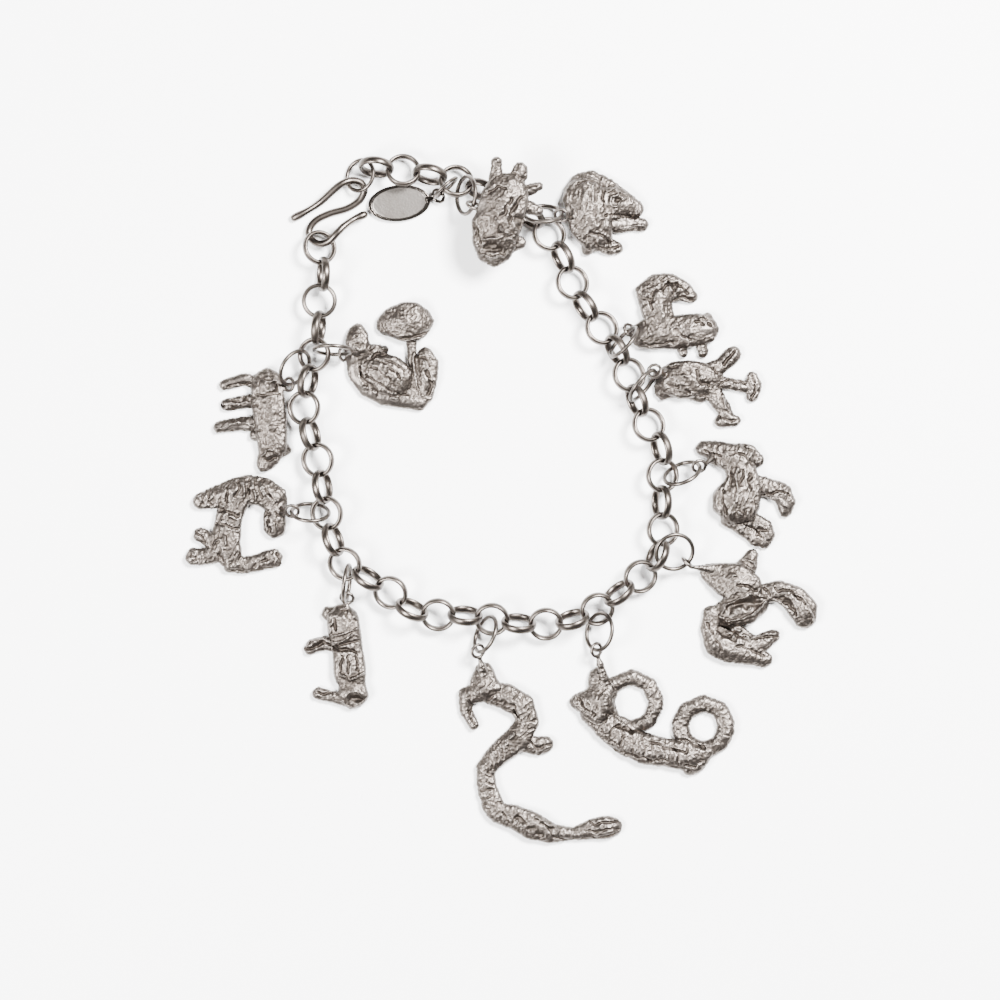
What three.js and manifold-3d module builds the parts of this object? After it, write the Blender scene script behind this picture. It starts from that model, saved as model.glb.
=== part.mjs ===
import * as THREE from 'three';
import { mergeVertices } from 'three/addons/utils/BufferGeometryUtils.js';
import Module from 'manifold-3d';

const wasm = await Module();
wasm.setup();

// Driving dimensions, in millimetres and degrees
const linkOuter = 5.36;
const linkWall = 0.6;
const linkBand = 1.2;
const linkShoulder = 0.34;
const linkBite = 0.1;
const linkSides = 10;
const linkCount = 46;
const flatRoll = -24;
const steepRoll = 66;
const endTwist = 48;
const endTwistLinks = 4;
const chainLift = 2.62;
const lastLinkLift = 2.0;

const ringOuter = 6.2;
const ringWire = 0.7;
const endRingOuter = 5.4;
const endRingWire = 0.7;
const endRingTilt = 36;
const endRingHighSide = -20;
const endRingTurn = 50;
const endRingSlack = 0.95;
const tagRingOuter = 4.8;
const tagRingWire = 0.6;
const ringSides = 10;
const wireSides = 5;
const bailOuter = 2.6;
const bailWire = 0.6;
const bailSides = 10;
const runningGap = 0.36;

const hookSize = 10.4;
const hookWire = 1.1;

const tagLength = 9.4;
const tagWidth = 5.5;
const tagPlate = 0.6;
const tagRim = 0.9;
const tagRimWidth = 0.55;
const tagSides = 18;
const tagTurn = 6;

const charmSize = 15;
const charmDepth = 0.62;
const charmFlatten = 0.7;
const charmThinnest = 1.1;
const capShare = 0.3;

// The chain's route on the surface, clockwise from the end ring to the hook. The links fill it at their pitch,
// and longer or shorter links draw it larger or smaller about the clasp.
const claspMiddle = new THREE.Vector3(-24.8, 43.35, 0);
const chainRoute = [
  [-18.5, 49.8], [-10.5, 48.7], [-3, 46.5], [4, 43], [8.6, 38], [10.6, 33], [12.9, 28.8], [17.2, 23],
  [19.8, 17.5], [21.2, 12.9], [24, 8.5], [24.3, 4], [24.2, -1.5], [24.2, -7], [21, -11.5], [16.6, -14.8],
  [13.5, -17], [8.5, -18.4], [4.2, -18.6], [-4.4, -17.4], [-12.8, -16.6], [-17.5, -13], [-23.5, -9.3], [-25.5, -4],
  [-26.4, 0.8], [-27.5, 7], [-29.3, 13.2], [-28.6, 18.5], [-27.3, 24], [-27, 30], [-26.4, 34], [-27, 37.8],
];

const silver = { color: 0xc9c5bf, roughness: 0.22, metalness: 1 };
const castSilver = { color: 0x9b958d, roughness: 0.48, metalness: 1 };
const satinSilver = { color: 0xb9b4ab, roughness: 0.4, metalness: 1 };

const up = new THREE.Vector3(0, 0, 1);
const radians = THREE.MathUtils.degToRad;

// Solids: a closed geometry becomes a solid that can be joined, and back
function solidOf(geometry) {
  const bare = geometry.clone();
  bare.deleteAttribute('normal');
  bare.deleteAttribute('uv');
  const merged = mergeVertices(bare, 1e-5);
  const vertProperties = new Float32Array(merged.attributes.position.array);
  const triVerts = new Uint32Array(merged.index.array);
  return new wasm.Manifold(new wasm.Mesh({ numProp: 3, vertProperties, triVerts }));
}

function geometryOf(solid) {
  const mesh = solid.getMesh();
  const geometry = new THREE.BufferGeometry();
  geometry.setAttribute('position', new THREE.BufferAttribute(new Float32Array(mesh.vertProperties), 3));
  geometry.setIndex(new THREE.BufferAttribute(new Uint32Array(mesh.triVerts), 1));
  geometry.computeVertexNormals();
  return geometry;
}

function joined(geometries) {
  return geometryOf(geometries.map(solidOf).reduce((whole, next) => whole.add(next)));
}

// A direction from its bearing on the surface and its rise above it
function heading(bearing, rise) {
  const flat = Math.cos(radians(rise));
  return new THREE.Vector3(
    flat * Math.cos(radians(bearing)),
    flat * Math.sin(radians(bearing)),
    Math.sin(radians(rise)),
  );
}

// A round wire ring about a centre, with its axis along a direction
function wireRing(centre, axis, outer, wire, sides) {
  const ring = new THREE.TorusGeometry((outer - wire) / 2, wire / 2, wireSides, sides);
  const turn = new THREE.Quaternion().setFromUnitVectors(up, axis.clone().normalize());
  return ring.applyQuaternion(turn).translate(centre.x, centre.y, centre.z);
}

// A form through sections, each with its centre, width, height and underside, closed by a short cap at each end
function loftedForm(sections, sides) {
  const rings = sections.map((section, index) => {
    const before = sections[Math.max(index - 1, 0)];
    const after = sections[Math.min(index + 1, sections.length - 1)];
    const along = new THREE.Vector3().subVectors(after.centre, before.centre).setZ(0).normalize();
    const across = new THREE.Vector3().crossVectors(up, along);
    return { ...section, along, across };
  });
  const corner = Math.cos(Math.PI / sides);
  const acrossShare = sides % 2 === 0 ? corner : (1 + corner) / 2;
  const points = [];
  const first = rings[0];
  const last = rings[rings.length - 1];
  points.push(first.centre.clone().addScaledVector(first.along, -capShare * first.width));
  for (const ring of rings) {
    for (let side = 0; side < sides; side += 1) {
      const angle = (2 * Math.PI * (side + 0.5)) / sides;
      points.push(ring.centre.clone()
        .addScaledVector(ring.across, (ring.width / acrossShare / 2) * Math.cos(angle))
        .addScaledVector(up, (ring.height / 2) * Math.sin(angle)));
    }
  }
  points.push(last.centre.clone().addScaledVector(last.along, capShare * last.width));

  const faces = [];
  const at = (ring, side) => 1 + ring * sides + (side % sides);
  for (let side = 0; side < sides; side += 1) {
    faces.push(0, at(0, side + 1), at(0, side));
    for (let ring = 0; ring < rings.length - 1; ring += 1) {
      faces.push(at(ring, side), at(ring, side + 1), at(ring + 1, side + 1));
      faces.push(at(ring, side), at(ring + 1, side + 1), at(ring + 1, side));
    }
    faces.push(points.length - 1, at(rings.length - 1, side), at(rings.length - 1, side + 1));
  }
  const geometry = new THREE.BufferGeometry().setFromPoints(points);
  geometry.setIndex(faces);
  return geometry;
}

// Chain: links stepped at one pitch along the route, each rolled against its neighbours
const linkInner = linkOuter / 2 - linkWall;
const linkPitch = 2 * linkInner * Math.cos(Math.PI / linkSides) + linkBite;
const linkReach = (linkOuter - linkWall) / 2;

function placeLinks() {
  const route = new THREE.CatmullRomCurve3(
    chainRoute.map(([x, y]) => new THREE.Vector3(x, y, 0)), false, 'centripetal');
  route.arcLengthDivisions = 2000;
  const size = ((linkCount - 1) * linkPitch) / route.getLength();
  const centres = [];
  for (let index = 0; index < linkCount; index += 1) {
    const centre = route.getPointAt(index / (linkCount - 1))
      .sub(claspMiddle).multiplyScalar(size).add(claspMiddle);
    centre.z = index === linkCount - 1 ? lastLinkLift : chainLift;
    centres.push(centre);
  }
  return centres.map((centre, index) => {
    const before = centres[Math.max(index - 1, 0)];
    const after = centres[Math.min(index + 1, linkCount - 1)];
    const along = new THREE.Vector3().subVectors(after, before).normalize();
    const outward = new THREE.Vector3().crossVectors(up, along).normalize();
    const rise = new THREE.Vector3().crossVectors(along, outward);
    const twist = endTwist * Math.max(0, 1 - (linkCount - 1 - index) / endTwistLinks);
    const roll = radians((index % 2 === 0 ? steepRoll : flatRoll) + twist);
    const side = outward.clone().multiplyScalar(Math.cos(roll)).addScaledVector(rise, Math.sin(roll));
    const axis = new THREE.Vector3().crossVectors(along, side);
    return { centre, along, side, axis };
  });
}

function linkGeometry({ centre, along, side, axis }) {
  const profile = [
    new THREE.Vector2(linkInner, -linkBand / 2),
    new THREE.Vector2(linkInner + linkShoulder, -linkBand / 2),
    new THREE.Vector2(linkOuter / 2, 0),
    new THREE.Vector2(linkInner + linkShoulder, linkBand / 2),
    new THREE.Vector2(linkInner, linkBand / 2),
    new THREE.Vector2(linkInner, -linkBand / 2),
  ];
  const place = new THREE.Matrix4().makeBasis(along, axis, side.clone().negate()).setPosition(centre);
  return new THREE.LatheGeometry(profile, linkSides).applyMatrix4(place);
}

const links = placeLinks();

// Hook: an S of round wire, its bends as shares of its size from the clasp's middle
const hookBends = [
  { x: -0.58, y: -0.10, z: 0.058 }, { x: -0.39, y: 0.00, z: 0.11 }, { x: -0.20, y: 0.12, z: 0.17 },
  { x: -0.01, y: 0.29, z: 0.212 }, { x: 0.09, y: 0.37, z: 0.221 }, { x: 0.19, y: 0.42, z: 0.207 },
  { x: 0.29, y: 0.43, z: 0.168 }, { x: 0.38, y: 0.4, z: 0.135 }, { x: 0.43, y: 0.32, z: 0.11 },
  { x: 0.41, y: 0.23, z: 0.087 }, { x: 0.34, y: 0.13, z: 0.067 }, { x: 0.17, y: 0.03, z: 0.056 },
  { x: -0.07, y: -0.04, z: 0.056 }, { x: -0.27, y: -0.14, z: 0.056 }, { x: -0.37, y: -0.29, z: 0.058 },
  { x: -0.32, y: -0.42, z: 0.09 }, { x: -0.20, y: -0.48, z: 0.15 }, { x: -0.07, y: -0.44, z: 0.22 },
  { x: 0.04, y: -0.33, z: 0.26 }, { x: 0.15, y: -0.22, z: 0.235 }, { x: 0.29, y: -0.12, z: 0.18 },
  { x: 0.43, y: -0.06, z: 0.145 },
];

function hookGeometry() {
  const path = new THREE.CatmullRomCurve3(hookBends.map(({ x, y, z }) => new THREE.Vector3(
    claspMiddle.x + x * hookSize, claspMiddle.y + y * hookSize, z * hookSize)), false, 'centripetal');
  const section = new THREE.Shape().absarc(0, 0, hookWire / 2, 0, 2 * Math.PI);
  return new THREE.ExtrudeGeometry(section, { steps: 26, curveSegments: 3, extrudePath: path });
}

// Charms are cast solids: trunks have rounder sections than limbs
const trunkSides = 6;
const limbSides = 5;
const coilSteps = 4;

function trunk(rows) {
  return { sides: trunkSides, rows };
}

function limb(rows) {
  return { sides: limbSides, rows };
}

// A coil is two half turns whose ends run into each other
function coil({ x, y, reach, w }) {
  return [0, 1].map((half) => limb(Array.from({ length: coilSteps + 1 }, (_, step) => {
    const angle = Math.PI * (half + step / coilSteps);
    return { x: x + reach * Math.cos(angle), y: y + reach * Math.sin(angle), w };
  })));
}

// Charms: each hangs from a jump ring on a link, and its forms are shares of the charm size from its bail.
// A row's centre is x and y, w is its width, and z, where given, is the height of its underside.
const charms = [
  {
    name: 'bull',
    ring: { link: 3, at: 145, bearing: -10, rise: 60, lean: -20, swing: 30 },
    body: { x: -0.01, y: 0.02, z: 0.4 },
    neck: { x: 0.16, y: -0.02 },
    forms: [
      trunk([
        { x: 0.22, y: -0.55, w: 0.28, z: 0.34 }, { x: 0.22, y: -0.41, w: 0.4, z: 0.35 },
        { x: 0.24, y: -0.23, w: 0.46, z: 0.38 }, { x: 0.29, y: -0.05, w: 0.46, z: 0.4 },
        { x: 0.35, y: 0.1, w: 0.42, z: 0.4 }, { x: 0.4, y: 0.22, w: 0.28, z: 0.42 },
      ]),
      limb([
        { x: 0.22, y: 0.15, w: 0.14, z: 0.44 }, { x: 0.24, y: 0.31, w: 0.1, z: 0.46 },
        { x: 0.24, y: 0.43, w: 0.09, z: 0.48 },
      ]),
      limb([
        { x: 0.4, y: 0.17, w: 0.16, z: 0.44 }, { x: 0.47, y: 0.29, w: 0.16, z: 0.46 },
        { x: 0.48, y: 0.37, w: 0.12, z: 0.48 },
      ]),
      limb([
        { x: 0.46, y: 0.09, w: 0.13, z: 0.42 }, { x: 0.59, y: 0.14, w: 0.09, z: 0.42 },
        { x: 0.68, y: 0.17, w: 0.07, z: 0.42 },
      ]),
      limb([
        { x: 0.44, y: -0.01, w: 0.14, z: 0.4 }, { x: 0.59, y: -0.05, w: 0.12, z: 0.4 },
        { x: 0.68, y: -0.09, w: 0.07, z: 0.4 },
      ]),
      limb([
        { x: 0.34, y: -0.43, w: 0.14, z: 0.36 }, { x: 0.5, y: -0.38, w: 0.11, z: 0.38 },
      ]),
    ],
  },
  {
    name: 'ram',
    ring: { link: 6, at: 45, bearing: 70, rise: -60, lean: 20, swing: -90 },
    body: { x: 0.02, y: -0.01, z: 0 },
    neck: { x: 0.16, y: 0.02 },
    forms: [
      trunk([
        { x: 0.22, y: 0.33, w: 0.3 }, { x: 0.22, y: 0.21, w: 0.42 }, { x: 0.24, y: 0.05, w: 0.44 },
        { x: 0.29, y: -0.11, w: 0.38 }, { x: 0.36, y: -0.26, w: 0.26 },
      ]),
      limb([
        { x: 0.07, y: 0.14, w: 0.1 }, { x: 0.06, y: 0.27, w: 0.1 }, { x: 0.15, y: 0.39, w: 0.09 },
        { x: 0.29, y: 0.42, w: 0.08 }, { x: 0.45, y: 0.32, w: 0.12 }, { x: 0.55, y: 0.23, w: 0.14 },
      ]),
      trunk([
        { x: 0.39, y: 0.12, w: 0.3 }, { x: 0.53, y: 0.14, w: 0.32 }, { x: 0.66, y: 0.11, w: 0.2 },
        { x: 0.77, y: 0.06, w: 0.11 },
      ]),
      limb([
        { x: 0.37, y: -0.05, w: 0.22 }, { x: 0.59, y: -0.06, w: 0.16 }, { x: 0.82, y: -0.08, w: 0.1 },
      ]),
      limb([
        { x: 0.34, y: -0.23, w: 0.2 }, { x: 0.49, y: -0.3, w: 0.14 }, { x: 0.57, y: -0.32, w: 0.1 },
      ]),
      limb([
        { x: 0.27, y: -0.21, w: 0.12 }, { x: 0.24, y: -0.35, w: 0.09 },
      ]),
    ],
  },
  {
    name: 'fox',
    ring: { link: 12, at: 0, bearing: 80, rise: -60, lean: -10, swing: -20 },
    body: { x: -0.07, y: -0.04, z: 0 },
    neck: { x: 0.16, y: 0 },
    forms: [
      trunk([
        { x: 0.1, y: 0.01, w: 0.16 }, { x: 0.19, y: 0, w: 0.25 }, { x: 0.34, y: 0, w: 0.28 },
        { x: 0.54, y: 0.02, w: 0.3 }, { x: 0.74, y: 0.05, w: 0.3 }, { x: 0.9, y: 0.05, w: 0.22 },
      ]),
      limb([
        { x: 0.37, y: 0.12, w: 0.28 }, { x: 0.33, y: 0.27, w: 0.3 }, { x: 0.34, y: 0.4, w: 0.3 },
      ]),
      trunk([
        { x: 0.24, y: 0.28, w: 0.12 }, { x: 0.24, y: 0.4, w: 0.22 }, { x: 0.34, y: 0.47, w: 0.24 },
        { x: 0.48, y: 0.47, w: 0.24 }, { x: 0.62, y: 0.42, w: 0.18 }, { x: 0.72, y: 0.36, w: 0.09 },
      ]),
      limb([
        { x: 0.82, y: 0.13, w: 0.14 }, { x: 0.87, y: 0.18, w: 0.09 },
      ]),
      limb([
        { x: 0.58, y: -0.04, w: 0.12 }, { x: 0.6, y: -0.14, w: 0.09 }, { x: 0.62, y: -0.21, w: 0.07 },
      ]),
      limb([
        { x: 0.76, y: -0.02, w: 0.1 }, { x: 0.8, y: -0.14, w: 0.09 }, { x: 0.82, y: -0.21, w: 0.07 },
      ]),
    ],
  },
  {
    name: 'frog',
    ring: { link: 14, at: -45, bearing: 30, rise: -50, lean: 10, swing: -50 },
    body: { x: -0.04, y: -0.01, z: 0 },
    neck: { x: 0.16, y: -0.04 },
    forms: [
      trunk([
        { x: 0.09, y: -0.01, w: 0.14 }, { x: 0.17, y: -0.05, w: 0.28 }, { x: 0.31, y: -0.08, w: 0.36 },
        { x: 0.47, y: -0.06, w: 0.32 }, { x: 0.6, y: -0.05, w: 0.24 }, { x: 0.69, y: -0.06, w: 0.15 },
      ]),
      limb([
        { x: 0.58, y: -0.01, w: 0.2 }, { x: 0.72, y: 0.08, w: 0.14 }, { x: 0.83, y: 0.18, w: 0.15 },
        { x: 0.86, y: 0.22, w: 0.12 },
      ]),
      limb([
        { x: 0.62, y: -0.08, w: 0.14 }, { x: 0.78, y: -0.11, w: 0.1 }, { x: 0.98, y: -0.15, w: 0.1 },
      ]),
      limb([
        { x: 1.01, y: -0.02, w: 0.1 }, { x: 1.05, y: -0.15, w: 0.13 }, { x: 1.01, y: -0.27, w: 0.1 },
      ]),
      limb([
        { x: 0.56, y: -0.12, w: 0.2 }, { x: 0.66, y: -0.25, w: 0.16 }, { x: 0.74, y: -0.37, w: 0.14 },
        { x: 0.77, y: -0.45, w: 0.14 },
      ]),
      limb([
        { x: 0.67, y: -0.49, w: 0.08 }, { x: 0.77, y: -0.47, w: 0.14 }, { x: 0.88, y: -0.49, w: 0.08 },
      ]),
      limb([
        { x: 0.18, y: -0.16, w: 0.16 }, { x: 0.38, y: -0.21, w: 0.1 }, { x: 0.53, y: -0.27, w: 0.08 },
      ]),
      limb([
        { x: 0.14, y: -0.13, w: 0.18 }, { x: 0.12, y: -0.23, w: 0.14 },
      ]),
    ],
  },
  {
    name: 'monkey',
    ring: { link: 17, at: -15, bearing: -20, rise: 50, lean: 20, swing: 60 },
    body: { x: 0.03, y: -0.01, z: 0 },
    neck: { x: 0.12, y: 0.12 },
    forms: [
      trunk([
        { x: -0.02, y: 0.19, w: 0.13 }, { x: 0.12, y: 0.17, w: 0.18 }, { x: 0.33, y: 0.09, w: 0.28 },
        { x: 0.4, y: -0.05, w: 0.28 }, { x: 0.4, y: -0.2, w: 0.36 }, { x: 0.34, y: -0.34, w: 0.46 },
        { x: 0.3, y: -0.46, w: 0.38 },
      ]),
      limb([
        { x: 0.09, y: 0.11, w: 0.14 }, { x: 0.28, y: 0.09, w: 0.18 },
      ]),
      limb([
        { x: 0.24, y: -0.49, w: 0.16 }, { x: 0.4, y: -0.61, w: 0.12 }, { x: 0.54, y: -0.72, w: 0.12 },
        { x: 0.66, y: -0.75, w: 0.12 },
      ]),
      limb([
        { x: 0.36, y: 0.15, w: 0.18 }, { x: 0.47, y: 0.14, w: 0.18 }, { x: 0.58, y: 0.05, w: 0.12 },
      ]),
      limb([
        { x: 0.38, y: -0.43, w: 0.22 }, { x: 0.51, y: -0.53, w: 0.16 }, { x: 0.63, y: -0.6, w: 0.15 },
        { x: 0.67, y: -0.71, w: 0.14 },
      ]),
      limb([
        { x: 0.49, y: -0.16, w: 0.2 }, { x: 0.66, y: -0.2, w: 0.17 }, { x: 0.81, y: -0.26, w: 0.2 },
        { x: 0.85, y: -0.37, w: 0.18 }, { x: 0.83, y: -0.46, w: 0.12 },
      ]),
    ],
  },
  {
    name: 'rooster',
    ring: { link: 20, at: -45, bearing: -30, rise: -20, lean: -30, swing: 10 },
    body: { x: 0.14, y: -0.09, z: 0 },
    neck: { x: 0.19, y: 0.02 },
    forms: [
      trunk([
        { x: 0.03, y: 0.01, w: 0.13 }, { x: 0.2, y: -0.06, w: 0.28 }, { x: 0.32, y: -0.09, w: 0.36 },
        { x: 0.42, y: -0.17, w: 0.38 }, { x: 0.45, y: -0.28, w: 0.32 },
      ]),
      limb([
        { x: 0.4, y: -0.02, w: 0.24 }, { x: 0.48, y: 0.1, w: 0.16 }, { x: 0.52, y: 0.2, w: 0.1 },
      ]),
      trunk([
        { x: 0.18, y: -0.41, w: 0.16 }, { x: 0.31, y: -0.38, w: 0.3 }, { x: 0.46, y: -0.33, w: 0.36 },
        { x: 0.62, y: -0.27, w: 0.2 },
      ]),
      trunk([
        { x: 0.6, y: -0.22, w: 0.16 }, { x: 0.77, y: -0.19, w: 0.19 }, { x: 0.93, y: -0.27, w: 0.24 },
        { x: 1.03, y: -0.39, w: 0.27 }, { x: 1.05, y: -0.51, w: 0.18 },
      ]),
      limb([
        { x: 0.12, y: -0.38, w: 0.16 }, { x: 0.09, y: -0.56, w: 0.18 }, { x: 0.17, y: -0.7, w: 0.3 },
        { x: 0.31, y: -0.76, w: 0.28 }, { x: 0.51, y: -0.82, w: 0.2 }, { x: 0.67, y: -0.89, w: 0.14 },
      ]),
      limb([
        { x: 0.17, y: -0.44, w: 0.1 }, { x: 0.34, y: -0.57, w: 0.12 }, { x: 0.5, y: -0.68, w: 0.12 },
      ]),
      limb([
        { x: 0.47, y: -0.78, w: 0.2 }, { x: 0.63, y: -0.69, w: 0.16 }, { x: 0.75, y: -0.62, w: 0.1 },
      ]),
    ],
  },
  {
    name: 'snake',
    ring: { link: 23, at: 30, bearing: -70, rise: 30, lean: -30, swing: 40 },
    body: { x: 0, y: -0.12, z: 0 },
    neck: { x: 0.1, y: -0.24 },
    forms: [
      limb([
        { x: 0.01, y: -0.1, w: 0.12 }, { x: 0.01, y: -0.2, w: 0.16 }, { x: 0.06, y: -0.33, w: 0.26 },
      ]),
      limb([
        { x: 0.07, y: -0.45, w: 0.38 }, { x: -0.07, y: -0.41, w: 0.28 }, { x: -0.23, y: -0.4, w: 0.11 },
      ]),
      limb([
        { x: -0.09, y: -0.47, w: 0.18 }, { x: 0.1, y: -0.63, w: 0.24 }, { x: 0.28, y: -0.79, w: 0.24 },
        { x: 0.48, y: -0.86, w: 0.28 }, { x: 0.73, y: -0.91, w: 0.25 }, { x: 0.99, y: -0.95, w: 0.24 },
      ]),
      limb([
        { x: 1.08, y: -0.88, w: 0.18 }, { x: 1.01, y: -1, w: 0.17 }, { x: 0.91, y: -1.1, w: 0.11 },
      ]),
      ...coil({ x: 0.35, y: -0.41, reach: 0.255, w: 0.135 }),
      ...coil({ x: 1.07, y: -0.65, reach: 0.235, w: 0.15 }),
    ],
  },
  {
    name: 'lizard',
    ring: { link: 27, at: 30, bearing: -48, rise: 60, lean: 10, swing: 80 },
    body: { x: 0.03, y: -0.04, z: 0 },
    neck: { x: 0.04, y: -0.25 },
    forms: [
      limb([
        { x: 0.03, y: -0.11, w: 0.13 }, { x: 0.03, y: -0.24, w: 0.24 }, { x: 0.06, y: -0.36, w: 0.32 },
      ]),
      limb([
        { x: 0.03, y: -0.36, w: 0.2 }, { x: -0.15, y: -0.42, w: 0.17 }, { x: -0.15, y: -0.56, w: 0.11 },
        { x: -0.06, y: -0.72, w: 0.08 },
      ]),
      limb([
        { x: 0.07, y: -0.37, w: 0.2 }, { x: 0.25, y: -0.41, w: 0.24 }, { x: 0.42, y: -0.51, w: 0.24 },
        { x: 0.47, y: -0.67, w: 0.22 }, { x: 0.38, y: -0.83, w: 0.24 }, { x: 0.19, y: -0.98, w: 0.21 },
        { x: 0.05, y: -1.14, w: 0.18 }, { x: 0.06, y: -1.32, w: 0.17 }, { x: 0.12, y: -1.5, w: 0.2 },
        { x: 0.17, y: -1.58, w: 0.2 },
      ]),
      limb([
        { x: 0.42, y: -0.88, w: 0.16 }, { x: 0.58, y: -0.91, w: 0.17 }, { x: 0.68, y: -0.89, w: 0.14 },
      ]),
      limb([
        { x: 0.14, y: -1.57, w: 0.18 }, { x: 0.35, y: -1.62, w: 0.22 }, { x: 0.53, y: -1.71, w: 0.26 },
        { x: 0.71, y: -1.78, w: 0.18 }, { x: 0.91, y: -1.79, w: 0.1 }, { x: 1.11, y: -1.74, w: 0.18 },
        { x: 1.27, y: -1.72, w: 0.22 }, { x: 1.37, y: -1.71, w: 0.13 },
      ]),
    ],
  },
  {
    name: 'bear',
    ring: { link: 33, at: -60, bearing: -110, rise: 60, lean: -20, swing: 100 },
    body: { x: 0, y: 0, z: 0 },
    neck: { x: -0.01, y: -0.14 },
    forms: [
      trunk([
        { x: -0.02, y: -0.1, w: 0.16 }, { x: -0.04, y: -0.18, w: 0.29 }, { x: -0.03, y: -0.32, w: 0.3 },
        { x: 0, y: -0.48, w: 0.27 }, { x: 0.02, y: -0.62, w: 0.29 }, { x: 0.03, y: -0.76, w: 0.3 },
        { x: 0.05, y: -0.87, w: 0.24 },
      ]),
      limb([
        { x: -0.1, y: -0.16, w: 0.13 }, { x: -0.22, y: -0.16, w: 0.13 },
      ]),
      limb([
        { x: -0.04, y: -0.48, w: 0.14 }, { x: -0.22, y: -0.46, w: 0.13 }, { x: -0.35, y: -0.48, w: 0.13 },
        { x: -0.39, y: -0.54, w: 0.1 },
      ]),
      trunk([
        { x: 0.05, y: -0.84, w: 0.22 }, { x: 0.06, y: -0.98, w: 0.29 }, { x: 0.04, y: -1.06, w: 0.18 },
      ]),
      limb([
        { x: 0.02, y: -1.03, w: 0.13 }, { x: -0.16, y: -0.99, w: 0.1 }, { x: -0.31, y: -0.95, w: 0.12 },
      ]),
    ],
  },
  {
    name: 'horse',
    ring: { link: 35, at: 30, bearing: -119, rise: 60, lean: 10, swing: 80 },
    body: { x: -0.01, y: -0.05, z: 0 },
    neck: { x: -0.12, y: 0.08 },
    forms: [
      limb([
        { x: -0.09, y: 0.07, w: 0.14 }, { x: -0.16, y: 0.15, w: 0.26 }, { x: -0.28, y: 0.23, w: 0.28 },
        { x: -0.44, y: 0.26, w: 0.27 }, { x: -0.61, y: 0.21, w: 0.27 }, { x: -0.81, y: 0.17, w: 0.19 },
        { x: -0.94, y: 0.14, w: 0.14 },
      ]),
      limb([
        { x: -0.15, y: 0.1, w: 0.22 }, { x: -0.16, y: -0.04, w: 0.22 }, { x: -0.17, y: -0.17, w: 0.18 },
      ]),
      limb([
        { x: -0.54, y: 0.17, w: 0.24 }, { x: -0.61, y: 0.01, w: 0.25 }, { x: -0.64, y: -0.15, w: 0.26 },
        { x: -0.65, y: -0.32, w: 0.28 }, { x: -0.59, y: -0.45, w: 0.21 },
      ]),
      limb([
        { x: -0.68, y: -0.26, w: 0.18 }, { x: -0.82, y: -0.24, w: 0.14 }, { x: -0.94, y: -0.17, w: 0.13 },
      ]),
      limb([
        { x: -0.68, y: -0.36, w: 0.18 }, { x: -0.87, y: -0.41, w: 0.15 }, { x: -1.01, y: -0.41, w: 0.17 },
      ]),
      limb([
        { x: -0.63, y: -0.45, w: 0.2 }, { x: -0.47, y: -0.49, w: 0.15 }, { x: -0.29, y: -0.45, w: 0.16 },
        { x: -0.14, y: -0.41, w: 0.18 },
      ]),
    ],
  },
  {
    name: 'goat',
    ring: { link: 41, at: -45, bearing: -150, rise: 30, lean: 30, swing: 60 },
    body: { x: 0.01, y: -0.03, z: 0 },
    neck: { x: -0.14, y: 0 },
    forms: [
      trunk([
        { x: -0.23, y: 0.14, w: 0.19 }, { x: -0.22, y: 0.02, w: 0.31 }, { x: -0.22, y: -0.13, w: 0.31 },
        { x: -0.2, y: -0.28, w: 0.31 }, { x: -0.19, y: -0.43, w: 0.28 }, { x: -0.18, y: -0.6, w: 0.26 },
        { x: -0.22, y: -0.71, w: 0.2 }, { x: -0.29, y: -0.81, w: 0.1 },
      ]),
      limb([
        { x: -0.31, y: 0.04, w: 0.13 }, { x: -0.46, y: 0.08, w: 0.1 }, { x: -0.68, y: 0.02, w: 0.1 },
      ]),
      limb([
        { x: -0.32, y: -0.13, w: 0.13 }, { x: -0.51, y: -0.15, w: 0.11 }, { x: -0.67, y: -0.18, w: 0.1 },
      ]),
      limb([
        { x: -0.28, y: -0.36, w: 0.16 }, { x: -0.47, y: -0.36, w: 0.13 }, { x: -0.74, y: -0.4, w: 0.1 },
      ]),
      limb([
        { x: -0.22, y: -0.46, w: 0.12 }, { x: -0.38, y: -0.48, w: 0.1 },
      ]),
      limb([
        { x: -0.12, y: -0.63, w: 0.14 }, { x: -0.02, y: -0.62, w: 0.1 },
      ]),
    ],
  },
  {
    name: 'bird',
    ring: { link: 41, at: 160, bearing: 20, rise: 60, lean: -10, swing: 120 },
    body: { x: 0.01, y: 0.02, z: 0 },
    neck: { x: 0.14, y: 0.02 },
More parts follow.
